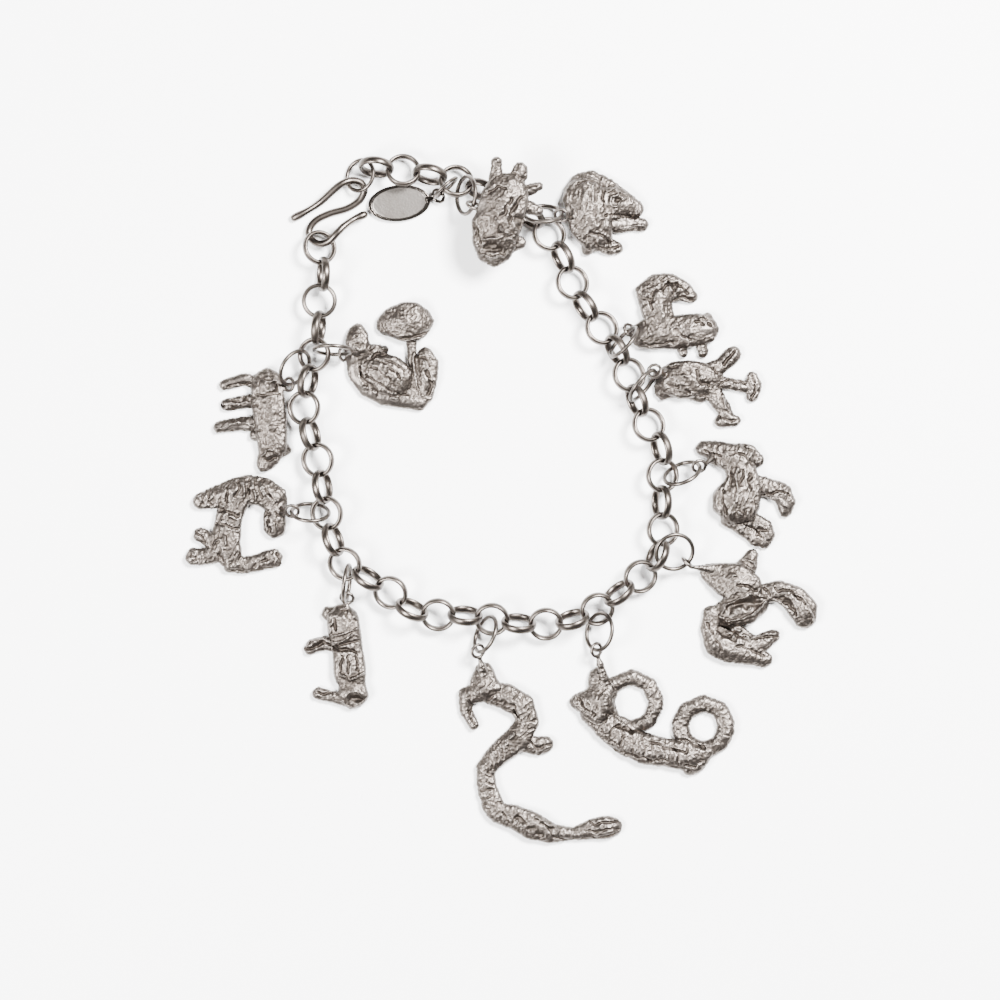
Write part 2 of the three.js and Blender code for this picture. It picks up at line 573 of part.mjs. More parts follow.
    forms: [
      trunk([
        { x: 0.12, y: 0.02, w: 0.22 }, { x: 0.13, y: 0.12, w: 0.21 }, { x: 0.13, y: 0.2, w: 0.17 },
        { x: 0.13, y: 0.26, w: 0.09 },
      ]),
      limb([
        { x: 0.13, y: 0.04, w: 0.16 }, { x: 0.09, y: -0.08, w: 0.15 }, { x: 0.13, y: -0.23, w: 0.15 },
        { x: 0.23, y: -0.35, w: 0.17 }, { x: 0.4, y: -0.43, w: 0.18 }, { x: 0.6, y: -0.46, w: 0.18 },
        { x: 0.79, y: -0.5, w: 0.17 },
      ]),
      limb([
        { x: 0.14, y: 0.02, w: 0.14 }, { x: 0.27, y: 0.02, w: 0.12 }, { x: 0.42, y: 0.02, w: 0.08 },
      ]),
      trunk([
        { x: 0.16, y: -0.09, w: 0.16 }, { x: 0.3, y: -0.15, w: 0.3 }, { x: 0.45, y: -0.23, w: 0.38 },
        { x: 0.6, y: -0.31, w: 0.28 },
      ]),
      limb([
        { x: 0.8, y: 0.02, w: 0.11 }, { x: 0.84, y: -0.1, w: 0.2 }, { x: 0.83, y: -0.28, w: 0.2 },
        { x: 0.8, y: -0.46, w: 0.16 },
      ]),
      limb([
        { x: 0.68, y: -0.39, w: 0.14 }, { x: 0.7, y: -0.19, w: 0.1 }, { x: 0.67, y: 0.01, w: 0.08 },
        { x: 0.68, y: 0.21, w: 0.1 },
      ]),
      trunk([
        { x: 0.36, y: 0.25, w: 0.13 }, { x: 0.45, y: 0.29, w: 0.26 }, { x: 0.6, y: 0.3, w: 0.37 },
        { x: 0.74, y: 0.31, w: 0.35 }, { x: 0.84, y: 0.32, w: 0.18 },
      ]),
    ],
  },
];

// Where a jump ring and the bail on it lie: the ring hangs clear round a link's wire, the bail round the ring's
const ringReach = (ringOuter - ringWire) / 2;

function hangRing({ link, at, bearing, rise, lean, swing }, outer, wire) {
  const { centre, along, side, axis } = links[link];
  const radial = side.clone().multiplyScalar(Math.cos(radians(at)))
    .addScaledVector(along, Math.sin(radians(at)));
  const tangent = new THREE.Vector3().crossVectors(axis, radial);
  const outward = heading(bearing, rise);
  const halfLink = (Math.abs(outward.dot(radial)) * linkWall + Math.abs(outward.dot(axis)) * linkBand) / 2;
  const reach = (outer - wire) / 2;
  const ringCentre = centre.clone().addScaledVector(radial, linkReach)
    .addScaledVector(outward, reach - wire / 2 - halfLink - runningGap);
  const normal = tangent.clone().addScaledVector(outward, -tangent.dot(outward)).normalize()
    .applyAxisAngle(outward, radians(lean));
  const toBail = outward.clone().applyAxisAngle(normal, radians(swing));
  const bail = ringCentre.clone().addScaledVector(toBail, reach);
  const bailAxis = new THREE.Vector3().crossVectors(normal, toBail);
  return { ringCentre, normal, bail, bailAxis };
}

function placedRows(rows, origin, body) {
  return rows.map(({ x, y, w, z = body.z }) => {
    const height = Math.max(w * (1 - charmFlatten * w) * charmDepth * charmSize, charmThinnest);
    const centre = new THREE.Vector3(
      origin.x + (x + body.x) * charmSize,
      origin.y + (y + body.y) * charmSize,
      z * charmSize + height / 2,
    );
    return { centre, width: w * charmSize, height };
  });
}

// The neck runs from the bail's rim to the body, and is soldered to both
function neckForm({ bail, bailAxis }, target) {
  const toBody = target.clone().sub(bail).projectOnPlane(bailAxis).normalize();
  const start = bail.clone().addScaledVector(toBody, (bailOuter - bailWire) / 2);
  return loftedForm([
    { centre: start, width: bailWire, height: bailWire },
    { centre: target, width: charmThinnest, height: charmThinnest },
  ], limbSides);
}

const group = new THREE.Group();

function addPiece(name, geometry, finish) {
  const mesh = new THREE.Mesh(geometry, new THREE.MeshStandardMaterial(finish));
  mesh.name = name;
  group.add(mesh);
  return mesh;
}

addPiece('chain', joined(links.map(linkGeometry)), silver);
addPiece('clasp_hook', hookGeometry(), silver);

// End ring: it leans on one side, with the first link and the hook on its high side
const endRingReach = (endRingOuter - endRingWire) / 2;
const endHigh = heading(endRingHighSide, endRingTilt);
const endAxis = heading(endRingHighSide, endRingTilt - 90);
const endAtLink = endHigh.clone().applyAxisAngle(endAxis, radians(-endRingTurn));
const endCentre = links[0].centre.clone()
  .addScaledVector(links[0].along, endRingWire / 2 + endRingSlack - linkInner * Math.cos(Math.PI / linkSides))
  .addScaledVector(endAtLink, -endRingReach);
addPiece('end_ring', wireRing(endCentre, endAxis, endRingOuter, endRingWire, ringSides), silver);

// Tag: an oval plate with a raised rim, lying flat beside the chain, and a soldered loop on its ring
const tagHang = { link: 3, at: -140, bearing: 30, rise: -60, lean: 0, swing: -80 };
const tagPlace = hangRing(tagHang, tagRingOuter, tagRingWire);
const tagMiddle = { x: tagPlace.bail.x - 0.623 * tagLength, y: tagPlace.bail.y - 0.114 * tagLength };
const tagHoop = wireRing(tagPlace.ringCentre, tagPlace.normal, tagRingOuter, tagRingWire, ringSides);
addPiece('tag_ring', tagHoop, silver);

function tagGeometry() {
  const half = tagLength / 2;
  const profile = [
    new THREE.Vector2(0, 0),
    new THREE.Vector2(half, 0),
    new THREE.Vector2(half, tagRim),
    new THREE.Vector2(half - tagRimWidth, tagRim),
    new THREE.Vector2(half - tagRimWidth, tagPlate),
    new THREE.Vector2(0, tagPlate),
  ];
  const plate = new THREE.LatheGeometry(profile, tagSides);
  plate.rotateX(Math.PI / 2).scale(1, tagWidth / tagLength, 1).rotateZ(radians(tagTurn));
  plate.translate(tagMiddle.x, tagMiddle.y, 0);
  const toward = heading(tagTurn, 0);
  const tip = new THREE.Vector3(tagMiddle.x, tagMiddle.y, charmThinnest / 2)
    .addScaledVector(toward, half - tagRimWidth);
  const loop = wireRing(tagPlace.bail, tagPlace.bailAxis, bailOuter, bailWire, bailSides);
  return joined([plate, loop, neckForm(tagPlace, tip)]);
}

addPiece('tag', tagGeometry(), satinSilver);

for (const { name, ring, body, neck, forms } of charms) {
  const hung = hangRing(ring, ringOuter, ringWire);
  addPiece(`ring_${name}`, wireRing(hung.ringCentre, hung.normal, ringOuter, ringWire, ringSides), silver);
  const bail = wireRing(hung.bail, hung.bailAxis, bailOuter, bailWire, bailSides);
  const solids = forms.map(({ sides, rows }) => loftedForm(placedRows(rows, hung.bail, body), sides));
  const target = new THREE.Vector3(
    hung.bail.x + (neck.x + body.x) * charmSize,
    hung.bail.y + (neck.y + body.y) * charmSize,
    body.z * charmSize + charmThinnest,
  );
  addPiece(`charm_${name}`, joined([bail, neckForm(hung, target), ...solids]), castSilver);
}

// The origin is the middle of the surface that the bracelet covers
const box = new THREE.Box3().setFromObject(group);
group.position.set(-(box.min.x + box.max.x) / 2, -(box.min.y + box.max.y) / 2, -box.min.z);

export default group;
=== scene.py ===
import math

import bpy
import numpy as np
from mathutils import Matrix, Vector


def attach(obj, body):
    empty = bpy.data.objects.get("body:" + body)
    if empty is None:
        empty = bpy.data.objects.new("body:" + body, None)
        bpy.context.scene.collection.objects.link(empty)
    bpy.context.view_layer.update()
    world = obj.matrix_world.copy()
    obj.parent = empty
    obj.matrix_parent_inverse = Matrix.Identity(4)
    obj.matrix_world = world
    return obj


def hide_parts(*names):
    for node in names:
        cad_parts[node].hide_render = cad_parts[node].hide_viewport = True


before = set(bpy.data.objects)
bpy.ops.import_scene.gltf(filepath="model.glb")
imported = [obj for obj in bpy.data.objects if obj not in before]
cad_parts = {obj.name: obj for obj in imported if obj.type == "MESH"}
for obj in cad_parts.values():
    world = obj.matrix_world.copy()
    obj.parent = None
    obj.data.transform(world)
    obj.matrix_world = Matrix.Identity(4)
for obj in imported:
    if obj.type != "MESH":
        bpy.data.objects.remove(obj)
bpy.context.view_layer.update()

mm = 0.001
packing = {"shift": (-0.11467, -0.20321)}  # how far packing moved the part, in mm
photo = {"pixel": 0.15, "middle": 500}  # mm for each pixel, and the middle pixel


def inFrame(x, y):  # from the source's mm to mm in the frame
    return Vector((x + packing["shift"][0], y + packing["shift"][1], 0))


def fromPhoto(x, y):  # from the photo's pixels to mm in the frame
    return inFrame((x - photo["middle"]) * photo["pixel"], (photo["middle"] - y) * photo["pixel"])


# Node maths as expressions

class Term:
    def __init__(self, tree, socket):
        self.tree = tree
        self.socket = socket

    def add(self, kind, settings=None, sockets=None, out=0):  # any node, its settings first
        made = self.tree.nodes.new(kind)
        for name, value in (settings or {}).items():
            setattr(made, name, value)
        for key, value in (sockets or {}).items():
            target = made.inputs[key]
            if isinstance(value, Term):
                self.tree.links.new(value.socket, target)
            else:
                target.default_value = value
        return Term(self.tree, made.outputs[out])

    def work(self, operation, first, second=0.0, clamp=False):
        settings = {"operation": operation, "use_clamp": clamp}
        return self.add("ShaderNodeMath", settings, {0: first, 1: second})

    def __add__(self, other):
        return self.work("ADD", self, other)

    def __radd__(self, other):
        return self.work("ADD", other, self)

    def __sub__(self, other):
        return self.work("SUBTRACT", self, other)

    def __rsub__(self, other):
        return self.work("SUBTRACT", other, self)

    def __mul__(self, other):
        return self.work("MULTIPLY", self, other)

    def __rmul__(self, other):
        return self.work("MULTIPLY", other, self)

    def clamped(self):
        return self.work("ADD", self, 0.0, True)

    def between(self, low, high):  # 0 below low, 1 above high, smooth in between
        return self.add("ShaderNodeMapRange", {"interpolation_type": "SMOOTHSTEP"},
                        {"Value": self, "From Min": low, "From Max": high})


def mixed(factor, first, second):  # the colours are the Mix node's sockets 6 and 7, and its output 2
    return factor.add("ShaderNodeMix", {"data_type": "RGBA"},
                      {"Factor": factor, 6: first, 7: second}, 2)


def newMaterial(name):
    material = bpy.data.materials.new(name)
    material.use_nodes = True
    tree = material.node_tree
    place = tree.nodes.new("ShaderNodeTexCoord").outputs["Object"]
    return material, tree.nodes["Principled BSDF"], Term(tree, place)


def connect(value, shader, name):
    value.tree.links.new(value.socket, shader.inputs[name])


def noiseOf(place, scale, detail=3.0, roughness=0.55):
    return place.add("ShaderNodeTexNoise", None,
                     {"Vector": place, "Scale": scale, "Detail": detail, "Roughness": roughness})


def storedOn(place, name):  # a value that the piece's points carry
    return place.add("ShaderNodeAttribute", {"attribute_name": name}, None, "Fac")


# Silver: colours, and where, by a noise's value, one turns into the next

noiseMean = 0.5
polished = {
    "bright": (0.092, 0.0785, 0.069, 1), "dull": (0.055, 0.0465, 0.0405, 1),
    "dullFrom": 0.46, "dullTo": 0.72, "rough": 0.29, "roughSpread": 0.16, "roughGrain": 0.05,
    "cloudScale": 420.0, "grainScale": 2600.0, "bump": 0.2, "bumpDepth": 0.00003,
}
cast = {
    "bright": (0.105, 0.091, 0.081, 1), "plain": (0.072, 0.0605, 0.0525, 1),
    "hollow": (0.05, 0.0415, 0.0355, 1), "rough": 0.32, "roughSpread": 0.2, "roughPits": 0.08,
    "cloudScale": 420.0, "grainScale": 3000.0, "pitScale": 5200.0, "bump": 0.55, "bumpDepth": 0.00006,
    "darkHollow": 1.15, "darkCloud": 0.7, "darkPits": 0.35, "darkFrom": 0.28, "darkTo": 0.85,
    "wornHollow": 1.6, "wornGrain": 0.8, "wornFrom": 0.35, "wornTo": 0.95,
    "highGrain": 0.7, "highPits": 0.45, "highCloud": 0.5,
}
satin = {
    "bright": (0.125, 0.114, 0.104, 1), "dull": (0.05, 0.044, 0.039, 1),
    "rim": (0.08, 0.069, 0.061, 1), "dullFrom": 0.4, "dullTo": 0.75, "dullCloud": 0.7, "dullGrain": 1.1,
    "rough": 0.38, "roughSpread": 0.14, "rimRough": 0.18,
    "cloudScale": 500.0, "grainScale": 3000.0, "bump": 0.7, "bumpDepth": 0.00004,
}


def finishSilver(shader, height, look):
    bump = height.add("ShaderNodeBump", None,
                      {"Strength": look["bump"], "Distance": look["bumpDepth"], "Height": height})
    connect(bump, shader, "Normal")
    shader.inputs["Metallic"].default_value = 1.0


def polishedSilver():
    material, shader, place = newMaterial("polished_silver")
    cloud = noiseOf(place, polished["cloudScale"])
    grain = noiseOf(place, polished["grainScale"], detail=2.0)
    dull = cloud.between(polished["dullFrom"], polished["dullTo"])
    connect(mixed(dull, polished["bright"], polished["dull"]), shader, "Base Color")
    rough = polished["rough"] + dull * polished["roughSpread"] + grain * polished["roughGrain"]
    connect(rough, shader, "Roughness")
    finishSilver(shader, grain, polished)
    return material


def castSilver():  # darkened in its hollows, worn bright on what stands out
    material, shader, place = newMaterial("cast_silver")
    hollow = storedOn(place, "hollow")
    cloud = noiseOf(place, cast["cloudScale"])
    grain = noiseOf(place, cast["grainScale"], roughness=0.6)
    pits = noiseOf(place, cast["pitScale"], detail=2.0, roughness=0.5)
    dark = (hollow * cast["darkHollow"] + (cloud - noiseMean) * cast["darkCloud"]
            + (pits - noiseMean) * cast["darkPits"]).clamped()
    worn = (1 - hollow * cast["wornHollow"] + (grain - noiseMean) * cast["wornGrain"]).clamped()
    lit = mixed(worn.between(cast["wornFrom"], cast["wornTo"]), cast["plain"], cast["bright"])
    shaded = mixed(dark.between(cast["darkFrom"], cast["darkTo"]), lit, cast["hollow"])
    connect(shaded, shader, "Base Color")
    rough = (cast["rough"] + dark * cast["roughSpread"] + pits * cast["roughPits"]).clamped()
    connect(rough, shader, "Roughness")
    height = grain * cast["highGrain"] + pits * cast["highPits"] + cloud * cast["highCloud"]
    finishSilver(shader, height, cast)
    return material


def satinSilver():  # a grained plate inside a smooth rim
    material, shader, place = newMaterial("satin_silver")
    rim = storedOn(place, "rim")
    cloud = noiseOf(place, satin["cloudScale"])
    grain = noiseOf(place, satin["grainScale"], roughness=0.6)
    dull = (cloud.between(satin["dullFrom"], satin["dullTo"]) * satin["dullCloud"]
            + (grain - noiseMean) * satin["dullGrain"]).clamped()
    middle = mixed(dull, satin["bright"], satin["dull"])
    connect(mixed(rim, middle, satin["rim"]), shader, "Base Color")
    rough = satin["rough"] + dull * satin["roughSpread"]
    connect(rough * (1 - rim) + rim * satin["rimRough"], shader, "Roughness")
    finishSilver(shader, grain * (1 - rim), satin)
    return material


silverPolished = polishedSilver()
silverCast = castSilver()
silverSatin = satinSilver()
print("silver: three finishes")


# Meshes

def newPiece(name, mesh, material, nodes):
    mesh.materials.clear()
    mesh.materials.append(material)
    mesh.polygons.foreach_set("use_smooth", [True] * len(mesh.polygons))
    piece = bpy.data.objects.new(name, mesh)
    bpy.context.scene.collection.objects.link(piece)
    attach(piece, "root")
    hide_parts(*nodes)


def plainMesh(carrier, name):  # the evaluated result as a mesh of its own, and the carrier removed
    bpy.context.view_layer.update()
    seen = carrier.evaluated_get(bpy.context.evaluated_depsgraph_get())
    mesh = bpy.data.meshes.new_from_object(seen)
    mesh.name = name
    old = carrier.data
    bpy.data.objects.remove(carrier)
    bpy.data.meshes.remove(old)
    return mesh


def meshFrom(name, points, faces):
    mesh = bpy.data.meshes.new(name)
    mesh.from_pydata([tuple(p) for p in points], [], faces)
    mesh.update()
    return mesh


def tubeFaces(hoops, sides):  # walls between hoops of points, and a cap at each end
    faces = []
    for i in range(hoops - 1):
        for k in range(sides):
            j = (k + 1) % sides
            faces.append((i * sides + k, i * sides + j, (i + 1) * sides + j, (i + 1) * sides + k))
    last = (hoops - 1) * sides
    faces.append(tuple(range(sides))[::-1])
    faces.append(tuple(last + k for k in range(sides)))
    return faces


dome = {"shares": (0.25, 0.6, 0.85), "height": 0.9}  # a swept wire's end, in shares of its radius


def domeHoop(hoop, share, side):  # side is -1 at the wire's start and 1 at its end
    centre, along, across, radius = hoop
    out = along * side * radius * dome["height"] * math.cos(math.asin(share))
    return centre + out, along, across, radius * share


def sweep(path, radii, sides):  # a round wire through points, closed by a small dome at each end
    count = len(path)
    ahead = [(path[min(i + 1, count - 1)] - path[max(i - 1, 0)]).normalized() for i in range(count)]
    across = ahead[0].orthogonal().normalized()
    hoops = []
    for i in range(count):
        if i:
            across = ahead[i - 1].rotation_difference(ahead[i]) @ across
            across = (across - ahead[i] * across.dot(ahead[i])).normalized()
        hoops.append((path[i], ahead[i], across.copy(), radii[i]))
    start = [domeHoop(hoops[0], share, -1) for share in dome["shares"]]
    end = [domeHoop(hoops[-1], share, 1) for share in reversed(dome["shares"])]
    points = []
    for centre, along, side, radius in start + hoops + end:
        up = along.cross(side)
        for k in range(sides):
            turn = 2 * math.pi * k / sides
            points.append(centre + (side * math.cos(turn) + up * math.sin(turn)) * radius)
    return points, tubeFaces(len(start + hoops + end), sides)


def smoothPath(knots, steps):  # a smooth line through rows of numbers
    rows = np.array(knots, float)
    rows = np.vstack([2 * rows[0] - rows[1], rows, 2 * rows[-1] - rows[-2]])
    made = []
    for i in range(1, len(rows) - 2):
        for step in range(steps):
            t = step / steps
            a, b, c, d = rows[i - 1:i + 3]
            made.append(0.5 * (2 * b + (c - a) * t + (2 * a - 5 * b + 4 * c - d) * t * t
                               + (3 * b - a - 3 * c + d) * t ** 3))
    made.append(rows[-2])
    return made


# Chain and rings: a wire link repeated on placed points

chain = {
    "route": [
        (-18.5, 49.8), (-10.5, 48.7), (-3, 46.5), (4, 43), (8.6, 38), (10.6, 33), (12.9, 28.8),
        (17.2, 23), (19.8, 17.5), (21.2, 12.9), (24, 8.5), (24.3, 4), (24.2, -1.5), (24.2, -7),
        (21, -11.5), (16.6, -14.8), (13.5, -17), (8.5, -18.4), (4.2, -18.6), (-4.4, -17.4),
        (-12.8, -16.6), (-17.5, -13), (-23.5, -9.3), (-25.5, -4), (-26.4, 0.8), (-27.5, 7),
        (-29.3, 13.2), (-28.6, 18.5), (-27.3, 24), (-27, 30), (-26.4, 34), (-27, 37.8),
    ],
    "clasp": (-24.8, 43.35), "links": 46, "outer": 5.36, "wall": 0.7, "band": 1.2, "bite": 0.1,
    "solidWall": 0.6, "solidSides": 10,  # the solid link's, which set the pitch
    "lift": 2.62, "lastLift": 2.0, "flatRoll": -24, "steepRoll": 66, "endTwist": 48, "endTwistLinks": 4,
    "routeSteps": 2000, "around": 40, "section": 16,
}
rings = {"around": 48, "section": 14}


def routePlaces(route, pitch, count):  # places one pitch apart along a centripetal Catmull-Rom line
    knots = np.array(route, float)
    knots = np.vstack([2 * knots[0] - knots[1], knots, 2 * knots[-1] - knots[-2]])
    spans = len(route) - 1

    def at(t):
        span = min(int(t * spans), spans - 1)
        w = t * spans - span
        a, b, c, d = knots[span:span + 4]
        first, second, third = (math.sqrt(np.linalg.norm(q - p)) for p, q in ((a, b), (b, c), (c, d)))
        leave = ((b - a) / first - (c - a) / (first + second) + (c - b) / second) * second
        reach = ((c - b) / second - (d - b) / (second + third) + (d - c) / third) * second
        return (b + leave * w + (-3 * b + 3 * c - 2 * leave - reach) * w * w
                + (2 * b - 2 * c + leave + reach) * w ** 3)

    steps = np.linspace(0, 1, chain["routeSteps"] + 1)
    places = np.array([at(t) for t in steps])
    lengths = np.concatenate([[0], np.cumsum(np.linalg.norm(np.diff(places, axis=0), axis=1))])
    size = (count - 1) * pitch / lengths[-1]  # the links fill the route, sized about the clasp
    clasp = np.array(chain["clasp"])
    wanted = np.linspace(0, lengths[-1], count)
    return [(at(t) - clasp) * size + clasp for t in np.interp(wanted, lengths, steps)]


def turnOf(x, y, z):  # the rotation that takes X, Y and Z to three directions
    return Matrix((x, y, z)).transposed().to_quaternion()


def chainPlaces():
    inner = chain["outer"] - 2 * chain["solidWall"]
    pitch = inner * math.cos(math.pi / chain["solidSides"]) + chain["bite"]
    flat = routePlaces(chain["route"], pitch, chain["links"])
    last = chain["links"] - 1
    lifts = [chain["lift"]] * last + [chain["lastLift"]]
    centres = [Vector((x, y, lift)) for (x, y), lift in zip(flat, lifts)]
    made = []
    for i, centre in enumerate(centres):
        along = (centres[min(i + 1, last)] - centres[max(i - 1, 0)]).normalized()
        outward = Vector((0, 0, 1)).cross(along).normalized()
        rise = along.cross(outward)
        twist = chain["endTwist"] * max(0, 1 - (last - i) / chain["endTwistLinks"])
        roll = math.radians((chain["steepRoll"] if i % 2 == 0 else chain["flatRoll"]) + twist)
        side = outward * math.cos(roll) + rise * math.sin(roll)
        axis = along.cross(side)
        made.append(((centre + inFrame(0, 0)) * mm, turnOf(along, side, axis)))
    return made


def wireTree():
    tree = bpy.data.node_groups.new("wire_links", "GeometryNodeTree")
    tree.interface.new_socket("Geometry", in_out="INPUT", socket_type="NodeSocketGeometry")
    named = {}
    for name, kind in (("Radius", "NodeSocketFloat"), ("Half Wall", "NodeSocketFloat"),
                       ("Half Band", "NodeSocketFloat"), ("Around", "NodeSocketInt"),
                       ("Section", "NodeSocketInt"), ("Material", "NodeSocketMaterial")):
        named[name] = tree.interface.new_socket(name, in_out="INPUT", socket_type=kind)
    tree.interface.new_socket("Geometry", in_out="OUTPUT", socket_type="NodeSocketGeometry")
    entry = Term(tree, tree.nodes.new("NodeGroupInput").outputs[0])
    given = {out.name: Term(tree, out) for out in entry.socket.node.outputs}
    loop = entry.add("GeometryNodeCurvePrimitiveCircle", None,
                     {"Resolution": given["Around"], "Radius": given["Radius"]})
    dot = entry.add("GeometryNodeCurvePrimitiveCircle", None,
                    {"Resolution": given["Section"], "Radius": 1.0})
    stretch = entry.add("ShaderNodeCombineXYZ", None,
                        {"X": given["Half Wall"], "Y": given["Half Band"], "Z": 1.0})
    section = entry.add("GeometryNodeTransform", None, {"Geometry": dot, "Scale": stretch})
    wire = entry.add("GeometryNodeCurveToMesh", None, {"Curve": loop, "Profile Curve": section})
    turn = entry.add("GeometryNodeInputNamedAttribute", {"data_type": "QUATERNION"}, {"Name": "turn"})
    many = entry.add("GeometryNodeInstanceOnPoints", None,
                     {"Points": given["Geometry"], "Instance": wire, "Rotation": turn})
    real = entry.add("GeometryNodeRealizeInstances", None, {"Geometry": many})
    painted = entry.add("GeometryNodeSetMaterial", None,
                        {"Geometry": real, "Material": given["Material"]})
    tree.links.new(painted.socket, tree.nodes.new("NodeGroupOutput").inputs[0])
    return tree, {name: socket.identifier for name, socket in named.items()}


wireNodes, wireInputs = wireTree()


def wireMesh(name, places, radius, halfWall, halfBand, detail):
    points = bpy.data.meshes.new(name + "_points")
    points.from_pydata([tuple(place) for place, _ in places], [], [])
    turns = points.attributes.new("turn", "QUATERNION", "POINT")
    for row, (_, turn) in zip(turns.data, places):
        row.value = tuple(turn)
    carrier = bpy.data.objects.new(name + "_points", points)
    bpy.context.scene.collection.objects.link(carrier)
    field = carrier.modifiers.new("wire", "NODES")
    field.node_group = wireNodes
    values = {"Radius": radius * mm, "Half Wall": halfWall * mm, "Half Band": halfBand * mm,
              "Around": detail["around"], "Section": detail["section"], "Material": silverPolished}
    for key, value in values.items():
        field[wireInputs[key]] = value
    return plainMesh(carrier, name)


def nodePoints(node):  # a CAD node's separate points, in mm, rounded so that equal ones meet
    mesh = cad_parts[node].data
    points = np.empty(len(mesh.vertices) * 3)
    mesh.vertices.foreach_get("co", points)
    return np.unique(np.round(points.reshape(-1, 3) / mm, 4), axis=0)


def ringPlace(node):  # a ring's centre, turn, outer and inner radius, from its solid
    points = nodePoints(node)
    centre = points.mean(axis=0)
    _, _, axes = np.linalg.svd(points - centre)
    x, y, z = (Vector(row) for row in axes)
    away = points - centre
    reach = np.linalg.norm(away - np.outer(away @ axes[2], axes[2]), axis=1)
    if x.cross(y).dot(z) < 0:
        z = -z
    return Vector(centre) * mm, turnOf(x, y, z), reach.max(), reach.min()


chainMesh = wireMesh("chain_links", chainPlaces(), (chain["outer"] - chain["wall"]) / 2,
                     chain["wall"] / 2, chain["band"] / 2, chain)
newPiece("chain_links", chainMesh, silverPolished, ["chain"])
print("chain:", chain["links"], "links")

ringNodes = sorted(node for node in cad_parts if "ring" in node)
for node in ringNodes:
    centre, turn, outer, inner = ringPlace(node)
    wire = (outer - inner) / 2
    mesh = wireMesh(node + "_wire", [(centre, turn)], (outer + inner) / 2, wire, wire, rings)
    newPiece(node + "_wire", mesh, silverPolished, [node])
print("rings:", len(ringNodes))


# Hook: round wire with a bead at each tip and a waist behind it

hook = {
    "size": 10.4, "wire": 1.1, "middle": (-24.8, 43.35),
    "bends": [
        (-0.58, -0.10, 0.058), (-0.39, 0.00, 0.11), (-0.20, 0.12, 0.17), (-0.01, 0.29, 0.212),
        (0.09, 0.37, 0.221), (0.19, 0.42, 0.207), (0.29, 0.43, 0.168), (0.38, 0.40, 0.135),
        (0.43, 0.32, 0.11), (0.41, 0.23, 0.087), (0.34, 0.13, 0.067), (0.17, 0.03, 0.056),
        (-0.07, -0.04, 0.056), (-0.27, -0.14, 0.056), (-0.37, -0.29, 0.058), (-0.32, -0.42, 0.09),
        (-0.20, -0.48, 0.15), (-0.07, -0.44, 0.22), (0.04, -0.33, 0.26), (0.15, -0.22, 0.235),
        (0.29, -0.12, 0.18), (0.43, -0.06, 0.145),
    ],
    "steps": 8, "sides": 18,
    "bead": 0.12, "beadAt": 2, "beadSpread": 3, "waist": 0.16, "waistAt": 10, "waistSpread": 5,
}


def makeHook():
    middle = inFrame(*hook["middle"])
    bends = smoothPath(hook["bends"], hook["steps"])
    line = [(Vector(row) * hook["size"] + middle) * mm for row in bends]
    radii = []
    for i in range(len(line)):
        fromTip = min(i, len(line) - 1 - i)
        bead = hook["bead"] * math.exp(-((fromTip - hook["beadAt"]) / hook["beadSpread"]) ** 2)
        waist = hook["waist"] * math.exp(-((fromTip - hook["waistAt"]) / hook["waistSpread"]) ** 2)
        radii.append(hook["wire"] / 2 * (1 + bead - waist) * mm)
    points, faces = sweep(line, radii, hook["sides"])
    return meshFrom("hook_wire", points, faces)


newPiece("hook_wire", makeHook(), silverPolished, ["clasp_hook"])
print("hook")


# Cast pieces: the solid is melted together, its relief is raised and cut, and the skin is roughened

class Lattice:  # smooth random values in space
    cells = 32
    start = 7.3

    def __init__(self, seed):
        self.table = np.random.default_rng(seed).uniform(-1, 1, (self.cells,) * 3)

    def at(self, points, scale):
        q = points * scale + self.start
        base = np.floor(q).astype(int)
        f = q - base
        f = f * f * (3 - 2 * f)
        total = np.zeros(len(points))
        for corner in np.ndindex(2, 2, 2):
            weight = np.where(corner, f, 1 - f).prod(axis=1)
            spot = (base + corner) % self.cells
            total += weight * self.table[spot[:, 0], spot[:, 1], spot[:, 2]]
        return total


casting = {
    "voxel": 0.13, "weld": 0.002, "smooth": 5, "softness": 0.5,  # how the solid is melted, in mm
    "rounding": 20, "roundShare": 0.5, "roundFrom": 1.2, "roundOver": 0.8,  # in mm from the bail
    "skinFrom": 1.5, "skinOver": 0.8, "skinLeast": 0.08, "calmShare": 0.85,  # the bail stays smooth
    "swell": 0.21, "swellFrom": 1.2, "lump": 0.09, "lumpScale": 0.8,
    "grain": 0.066, "grainScale": 3.0, "pit": 0.045, "pitScale": 4.6,
    "fur": 0.06, "furShare": 0.7, "furScale": (0.75, 2.3, 1.2),
    "markShare": 0.95, "markSpread": 0.9, "markScale": 1.6, "waver": 0.35, "waverScale": 1.1,
    "upwardGain": 1.6, "relief": 0.22, "reliefRounds": 14, "reliefShare": 0.6,
    "plainHollow": 0.36, "cutDepth": 0.6, "cutHollow": 0.45, "secondSeed": 50,
}


def meltedMesh(node, voxel, points=(), faces=()):  # a node's solid, with more points and faces in mm
    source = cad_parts[node].data
    solid = np.empty(len(source.vertices) * 3)
    source.vertices.foreach_get("co", solid)
    allPoints = [tuple(p) for p in solid.reshape(-1, 3) / mm] + [tuple(p) for p in points]
    start = len(source.vertices)
    allFaces = [tuple(p.vertices) for p in source.polygons]
    allFaces += [tuple(start + i for i in face) for face in faces]
    name = node + "_melt"
    carrier = bpy.data.objects.new(name, meshFrom(name, allPoints, allFaces))
    bpy.context.scene.collection.objects.link(carrier)
    weld = carrier.modifiers.new("weld", "WELD")
    weld.merge_threshold = casting["weld"]
    melt = carrier.modifiers.new("melt", "REMESH")
    melt.mode = "VOXEL"
    melt.voxel_size = voxel
    melt.adaptivity = 0
    soft = carrier.modifiers.new("soft", "SMOOTH")
    soft.factor = casting["softness"]
    soft.iterations = casting["smooth"]
    return plainMesh(carrier, name)


